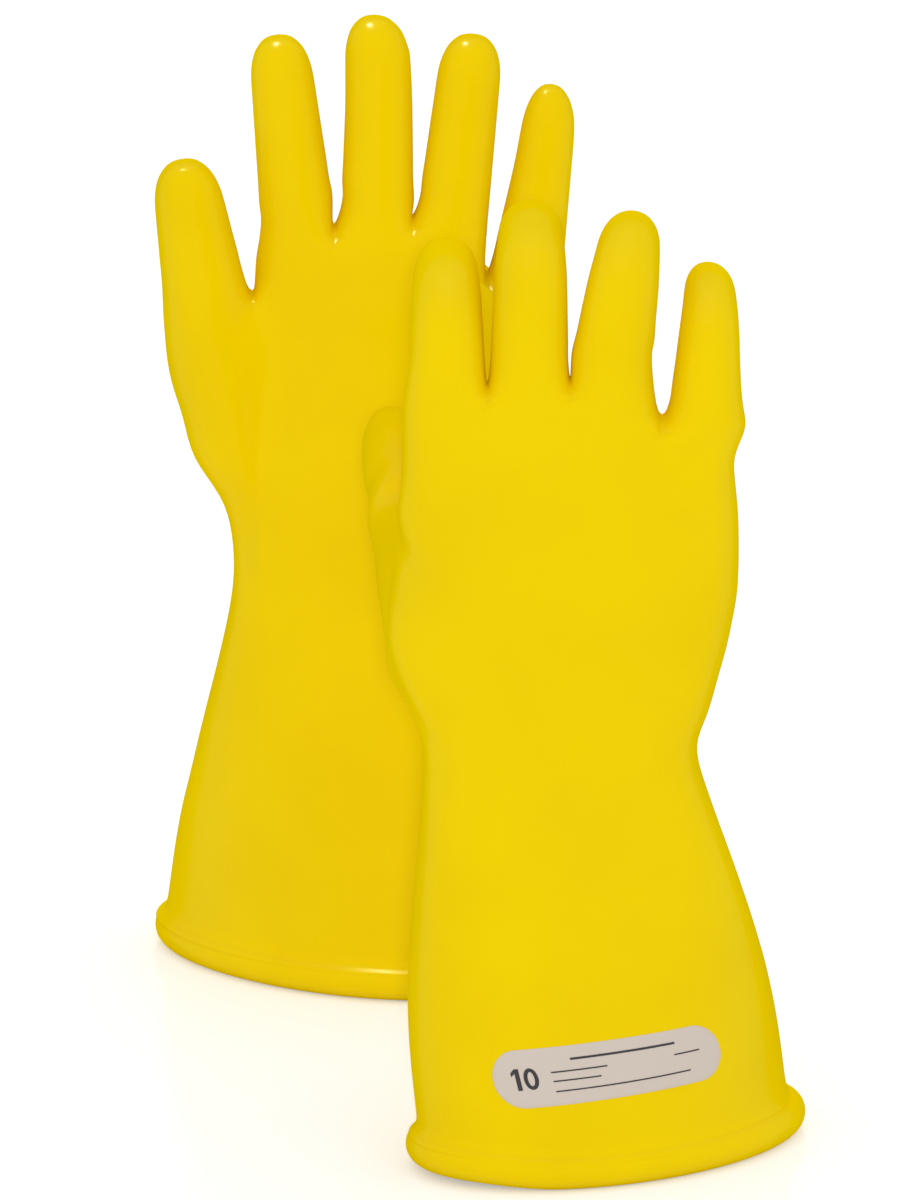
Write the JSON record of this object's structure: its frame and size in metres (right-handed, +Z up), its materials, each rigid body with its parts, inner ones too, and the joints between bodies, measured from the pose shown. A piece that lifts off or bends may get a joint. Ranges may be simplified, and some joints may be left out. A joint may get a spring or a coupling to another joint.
{
  "type": "electrical insulating gloves",
  "caption": "Pair of long dipped-rubber insulating gauntlets with flared cuffs and rolled edges, standing upright on their cuffs, with fingers and thumbs that bend.",
  "frame": {"origin": "middle of the right glove's cuff opening, at the floor that both gloves stand on", "axes": "+Z up along the gloves, from the rolled edges to the fingertips; +X across the palms, from the thumbs to the little fingers; the right palm faces +Y and the left palm faces -Y"},
  "size_m": [0.2311, 0.2954, 0.3543],
  "materials": {
    "rubber": "dipped natural rubber, bright yellow, smooth and satin, with soft highlights",
    "label": "thin bonded patch, pale pinkish grey with dark grey marks, matt"
  },
  "bodies": {
    "left_glove": {"left_cuff": "rubber", "left_bead": "rubber", "left_hand": "rubber", "left_label": "label"},
    "left_thumb_base": {"left_thumb_base": "rubber"},
    "left_thumb_tip": {"left_thumb_tip": "rubber"},
    "left_index_base": {"left_index_base": "rubber"},
    "left_index_tip": {"left_index_tip": "rubber"},
    "left_middle_base": {"left_middle_base": "rubber"},
    "left_middle_tip": {"left_middle_tip": "rubber"},
    "left_ring_base": {"left_ring_base": "rubber"},
    "left_ring_tip": {"left_ring_tip": "rubber"},
    "left_little_base": {"left_little_base": "rubber"},
    "left_little_tip": {"left_little_tip": "rubber"},
    "right_glove": {"right_cuff": "rubber", "right_bead": "rubber", "right_hand": "rubber", "right_label": "label"},
    "right_thumb_base": {"right_thumb_base": "rubber"},
    "right_thumb_tip": {"right_thumb_tip": "rubber"},
    "right_index_base": {"right_index_base": "rubber"},
    "right_index_tip": {"right_index_tip": "rubber"},
    "right_middle_base": {"right_middle_base": "rubber"},
    "right_middle_tip": {"right_middle_tip": "rubber"},
    "right_ring_base": {"right_ring_base": "rubber"},
    "right_ring_tip": {"right_ring_tip": "rubber"},
    "right_little_base": {"right_little_base": "rubber"},
    "right_little_tip": {"right_little_tip": "rubber"}
  },
  "joints": [
    {"name": "right_glove_lift", "type": "slide", "parent": "left_glove", "child": "right_glove", "axis": [0, 0, 1], "range_m": [0, 0.4]},
    {"name": "right_thumb_root_bend", "type": "hinge", "parent": "right_glove", "child": "right_thumb_base", "pos_m": [-0.05662, 0.05302, 0.22031], "axis": [-0.2556, 0.26, -0.9312], "range_deg": [0, 40], "stiffness_Nm_per_rad": 0.05},
    {"name": "right_thumb_middle_bend", "type": "hinge", "parent": "right_thumb_base", "child": "right_thumb_tip", "pos_m": [-0.0598, 0.07233, 0.22657], "axis": [-0.2556, 0.26, -0.9312], "range_deg": [0, 40], "stiffness_Nm_per_rad": 0.05},
    {"name": "right_index_root_bend", "type": "hinge", "parent": "right_glove", "child": "right_index_base", "pos_m": [-0.0545, 0.01079, 0.27774], "axis": [-1, 0, 0], "range_deg": [0, 50], "stiffness_Nm_per_rad": 0.05},
    {"name": "right_index_middle_bend", "type": "hinge", "parent": "right_index_base", "child": "right_index_tip", "pos_m": [-0.0545, 0.02538, 0.29388], "axis": [-1, 0, 0], "range_deg": [0, 45], "stiffness_Nm_per_rad": 0.05},
    {"name": "right_middle_root_bend", "type": "hinge", "parent": "right_glove", "child": "right_middle_base", "pos_m": [-0.0262, 0.01159, 0.27989], "axis": [-0.9994, 0.009, 0.0337], "range_deg": [0, 50], "stiffness_Nm_per_rad": 0.05},
    {"name": "right_middle_middle_bend", "type": "hinge", "parent": "right_middle_base", "child": "right_middle_tip", "pos_m": [-0.02536, 0.02464, 0.30138], "axis": [-0.9994, 0.009, 0.0337], "range_deg": [0, 45], "stiffness_Nm_per_rad": 0.05},
    {"name": "right_ring_root_bend", "type": "hinge", "parent": "right_glove", "child": "right_ring_base", "pos_m": [0.0021, 0.01174, 0.28051], "axis": [-0.9945, 0.0217, 0.1022], "range_deg": [0, 55], "stiffness_Nm_per_rad": 0.05},
    {"name": "right_ring_middle_bend", "type": "hinge", "parent": "right_ring_base", "child": "right_ring_tip", "pos_m": [0.00443, 0.02158, 0.30111], "axis": [-0.9945, 0.0217, 0.1022], "range_deg": [0, 49.5], "stiffness_Nm_per_rad": 0.05},
    {"name": "right_little_root_bend", "type": "hinge", "parent": "right_glove", "child": "right_little_base", "pos_m": [0.0324, 0.0108, 0.2649], "axis": [-0.9998, 0.0033, 0.0171], "range_deg": [0, 55], "stiffness_Nm_per_rad": 0.05},
    {"name": "right_little_middle_bend", "type": "hinge", "parent": "right_little_base", "child": "right_little_tip", "pos_m": [0.03279, 0.02084, 0.28585], "axis": [-0.9998, 0.0033, 0.0171], "range_deg": [0, 49.5], "stiffness_Nm_per_rad": 0.05},
    {"name": "left_thumb_root_bend", "type": "hinge", "parent": "left_glove", "child": "left_thumb_base", "pos_m": [-0.14074, 0.17499, 0.25599], "axis": [0.9865, 0.0747, 0.1457], "range_deg": [0, 40], "stiffness_Nm_per_rad": 0.05},
    {"name": "left_thumb_middle_bend", "type": "hinge", "parent": "left_thumb_base", "child": "left_thumb_tip", "pos_m": [-0.14388, 0.17417, 0.27774], "axis": [0.9865, 0.0747, 0.1457], "range_deg": [0, 40], "stiffness_Nm_per_rad": 0.05},
    {"name": "left_index_root_bend", "type": "hinge", "parent": "left_glove", "child": "left_index_base", "pos_m": [-0.1094, 0.18245, 0.28405], "axis": [0.9969, 0.0068, 0.0782], "range_deg": [0, 75], "stiffness_Nm_per_rad": 0.05},
    {"name": "left_index_middle_bend", "type": "hinge", "parent": "left_index_base", "child": "left_index_tip", "pos_m": [-0.11171, 0.18587, 0.31326], "axis": [0.9969, 0.0068, 0.0782], "range_deg": [0, 82.5], "stiffness_Nm_per_rad": 0.05},
    {"name": "left_middle_root_bend", "type": "hinge", "parent": "left_glove", "child": "left_middle_base", "pos_m": [-0.0811, 0.18245, 0.28405], "axis": [1, 0, 0], "range_deg": [0, 75], "stiffness_Nm_per_rad": 0.05},
    {"name": "left_middle_middle_bend", "type": "hinge", "parent": "left_middle_base", "child": "left_middle_tip", "pos_m": [-0.0811, 0.18591, 0.31658], "axis": [1, 0, 0], "range_deg": [0, 82.5], "stiffness_Nm_per_rad": 0.05},
    {"name": "left_ring_root_bend", "type": "hinge", "parent": "left_glove", "child": "left_ring_base", "pos_m": [-0.0528, 0.18245, 0.28405], "axis": [0.9954, -0.0083, -0.0955], "range_deg": [0, 75], "stiffness_Nm_per_rad": 0.05},
    {"name": "left_ring_middle_bend", "type": "hinge", "parent": "left_ring_base", "child": "left_ring_tip", "pos_m": [-0.04997, 0.18587, 0.31322], "axis": [0.9954, -0.0083, -0.0955], "range_deg": [0, 82.5], "stiffness_Nm_per_rad": 0.05},
    {"name": "left_little_root_bend", "type": "hinge", "parent": "left_glove", "child": "left_little_base", "pos_m": [-0.0225, 0.18344, 0.26396], "axis": [0.9962, -0.0076, -0.0868], "range_deg": [0, 75], "stiffness_Nm_per_rad": 0.05},
    {"name": "left_little_middle_bend", "type": "hinge", "parent": "left_little_base", "child": "left_little_tip", "pos_m": [-0.01989, 0.18742, 0.29359], "axis": [0.9962, -0.0076, -0.0868], "range_deg": [0, 82.5], "stiffness_Nm_per_rad": 0.05}
  ],
  "couplings": [
    {"joint": "right_thumb_middle_bend", "follows": "right_thumb_root_bend", "ratio": 1},
    {"joint": "right_index_middle_bend", "follows": "right_index_root_bend", "ratio": 0.9},
    {"joint": "right_middle_middle_bend", "follows": "right_middle_root_bend", "ratio": 0.9},
    {"joint": "right_ring_middle_bend", "follows": "right_ring_root_bend", "ratio": 0.9},
    {"joint": "right_little_middle_bend", "follows": "right_little_root_bend", "ratio": 0.9},
    {"joint": "left_thumb_middle_bend", "follows": "left_thumb_root_bend", "ratio": 1},
    {"joint": "left_index_middle_bend", "follows": "left_index_root_bend", "ratio": 1.1},
    {"joint": "left_middle_middle_bend", "follows": "left_middle_root_bend", "ratio": 1.1},
    {"joint": "left_ring_middle_bend", "follows": "left_ring_root_bend", "ratio": 1.1},
    {"joint": "left_little_middle_bend", "follows": "left_little_root_bend", "ratio": 1.1}
  ]
}
